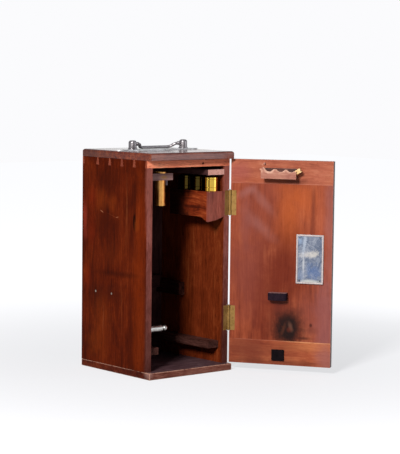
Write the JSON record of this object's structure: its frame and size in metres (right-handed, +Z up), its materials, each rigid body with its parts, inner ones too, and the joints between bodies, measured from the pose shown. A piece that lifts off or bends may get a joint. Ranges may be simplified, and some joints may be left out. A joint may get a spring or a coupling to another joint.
{
  "type": "instrument carrying case",
  "caption": "Dovetailed wooden carrying case for an upright instrument, with a side-hung door, fitted racks inside, a key lock and a folding handle on the lid.",
  "frame": {"origin": "Middle of the base board's underside.", "axes": "+Z up, +X to the right seen from the front, -Y to the front. The door is hung at +X and stands open in the rest pose."},
  "size_m": [0.2662, 0.2944, 0.3513],
  "materials": {
    "mahogany_outside": "varnished",
    "mahogany_inside": "oiled",
    "door_mahogany": "varnished",
    "pale_beech": "bare",
    "raw_break": "broken, bare",
    "brass": "lacquered",
    "nickel": "worn nickel plate",
    "steel": "tarnished",
    "blued_sheet": "tarnished sheet",
    "dark_leather": "worn"
  },
  "bodies": {
    "case": {"left_side": "mahogany_outside", "right_side": "mahogany_outside", "carcass_top": "mahogany_inside", "back_panel": "mahogany_inside", "base_board": "mahogany_outside", "lid_board": "mahogany_outside", "base_screws": "brass", "ledge_nails": "nickel", "hinge_case_leaves": "brass", "hinge_pins": "brass", "hinge_case_screws": "brass", "keep_plate": "brass", "retaining_slab": "pale_beech", "tray_front": "pale_beech", "tray_side": "mahogany_inside", "tray_end": "mahogany_inside", "tray_floor": "mahogany_inside", "can_bodies": "brass", "can_lids": "brass", "tube_bracket": "pale_beech", "hanging_tube": "brass", "bracket_peg": "pale_beech", "mid_ledges": "mahogany_inside", "back_batten": "mahogany_inside", "foot_rails": "mahogany_inside", "clamp_barrel": "nickel", "handle_plate": "nickel", "handle_screws": "nickel", "handle_posts": "nickel"},
    "door": {"door_panel": "door_mahogany", "door_top_cleat": "door_mahogany", "door_bottom_cleat": "door_mahogany", "hinge_door_leaves": "brass", "hinge_door_screws": "brass", "catch_pin": "pale_beech", "rack_strip": "pale_beech", "rack_shelf": "pale_beech", "rack_broken_ear": "raw_break", "label_frame": "nickel", "label_face": "blued_sheet", "label_nails": "steel", "stop_block": "dark_leather", "square_pad": "dark_leather", "lock_case": "brass", "escutcheon": "brass"},
    "bolt": {"lock_bolt": "steel"},
    "key": {"key": "steel", "lock_plug": "brass"},
    "clamp_screw": {"clamp_screw": "nickel"},
    "handle": {"handle_bail": "nickel"}
  },
  "joints": [
    {"name": "door_hinge", "type": "hinge", "parent": "case", "child": "door", "pos_m": [0.0812, -0.0752, 0.1675], "axis": [0, 0, 1], "range_deg": [-123.3, 56.7]},
    {"name": "bolt_slide", "type": "slide", "parent": "door", "child": "bolt", "axis": [0, 0, 1], "range_m": [0, 0.0071]},
    {"name": "key_turn", "type": "hinge", "parent": "door", "child": "key", "pos_m": [0.15659, -0.18086, 0.3064], "axis": [0.8358, 0.549, 0], "range_deg": [0, 90]},
    {"name": "clamp_slide", "type": "slide", "parent": "case", "child": "clamp_screw", "axis": [1, 0, 0], "range_m": [-0.002, 0.01]},
    {"name": "handle_pivot", "type": "hinge", "parent": "case", "child": "handle", "pos_m": [0, 0, 0.3457], "axis": [1, 0, 0], "range_deg": [0, 245]}
  ],
  "couplings": [
    {"joint": "bolt_slide", "follows": "key_turn", "m_per_rad": 0.0045016}
  ]
}
